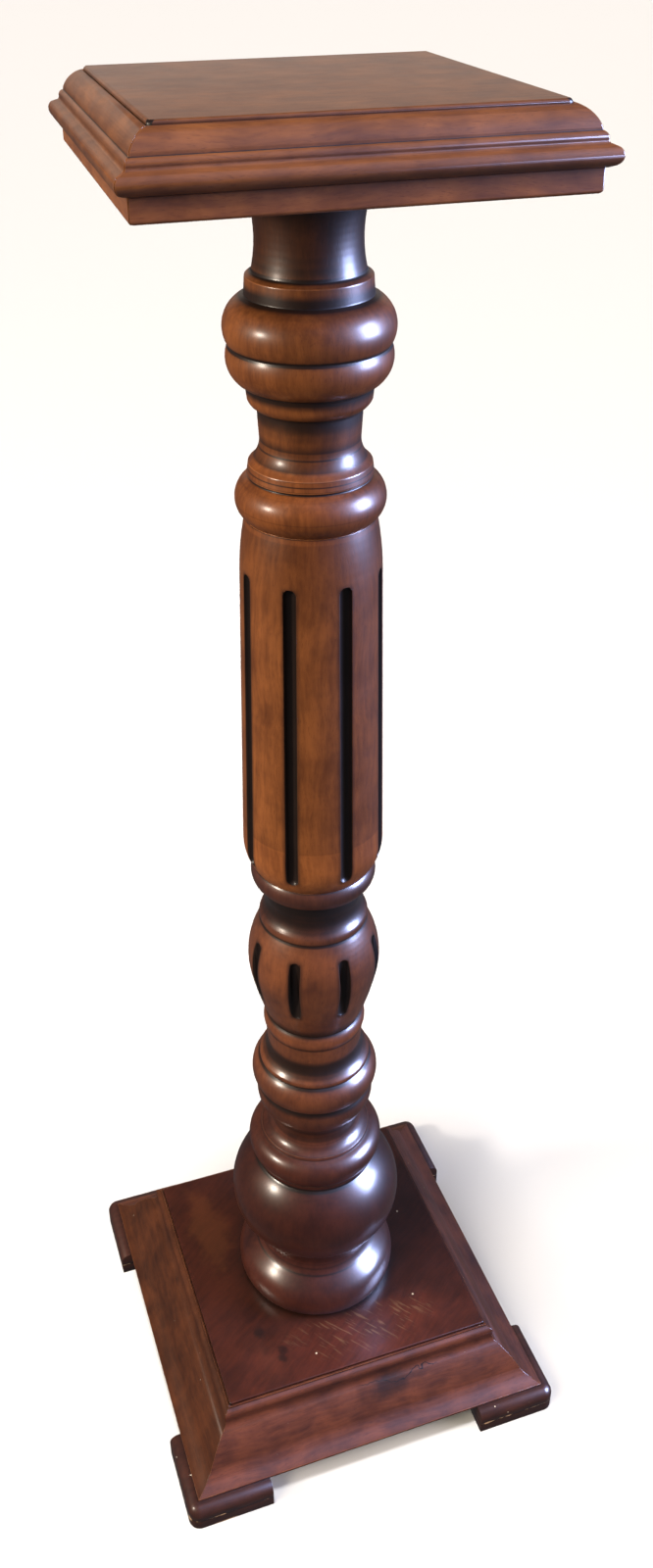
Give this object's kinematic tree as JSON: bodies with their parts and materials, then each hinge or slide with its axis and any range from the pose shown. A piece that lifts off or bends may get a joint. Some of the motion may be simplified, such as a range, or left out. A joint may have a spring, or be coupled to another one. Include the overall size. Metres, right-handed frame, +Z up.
{
  "type": "pedestal column stand",
  "caption": "Tall pedestal column stand: a square moulded top on a turned, fluted wooden column and a square stepped base with corner feet.",
  "frame": {"origin": "on the floor under the column's axis, level with the undersides of the feet", "axes": "+Z up along the column's axis; the front of the base faces -Y and its right side faces +X"},
  "size_m": [0.314, 0.314, 1],
  "materials": {
    "foot_wood": "dark red-brown stain under satin lacquer, worn to bare wood along the edges",
    "base_wood": "dark red-brown stain under satin lacquer",
    "base_panel_wood": "dark veneer under satin lacquer",
    "lower_column_wood": "turned, dark red-brown stain under gloss lacquer",
    "upper_column_wood": "turned, walnut-brown stain under gloss lacquer, dark glaze in the grooves",
    "top_wood": "walnut-brown stain under satin lacquer",
    "top_panel_wood": "walnut-brown veneer under satin lacquer",
    "core_wood": "bare softwood, sawn",
    "steel": "zinc plated"
  },
  "bodies": {
    "root": {"foot_upper_front_left": "foot_wood", "foot_pad_front_left": "foot_wood", "foot_upper_front_right": "foot_wood", "foot_pad_front_right": "foot_wood", "foot_upper_back_right": "foot_wood", "foot_pad_back_right": "foot_wood", "foot_upper_back_left": "foot_wood", "foot_pad_back_left": "foot_wood", "base_moulding_front": "base_wood", "base_moulding_right": "base_wood", "base_moulding_back": "base_wood", "base_moulding_left": "base_wood", "base_panel": "base_panel_wood", "base_core": "core_wood", "base_block_front_left": "core_wood", "base_block_front_right": "core_wood", "base_block_back_right": "core_wood", "base_block_back_left": "core_wood", "column_foot": "lower_column_wood", "column_vase": "upper_column_wood", "column_shaft": "upper_column_wood", "column_capital": "upper_column_wood", "top_panel": "top_panel_wood", "top_core": "core_wood", "top_moulding_front": "top_wood", "top_moulding_right": "top_wood", "top_moulding_back": "top_wood", "top_moulding_left": "top_wood", "top_apron_front": "top_wood", "top_apron_right": "top_wood", "top_apron_back": "top_wood", "top_apron_left": "top_wood", "foot_screws": "steel", "top_screws": "steel", "base_bolt": "steel", "base_washer": "steel", "base_nut": "steel"}
  },
  "joints": []
}
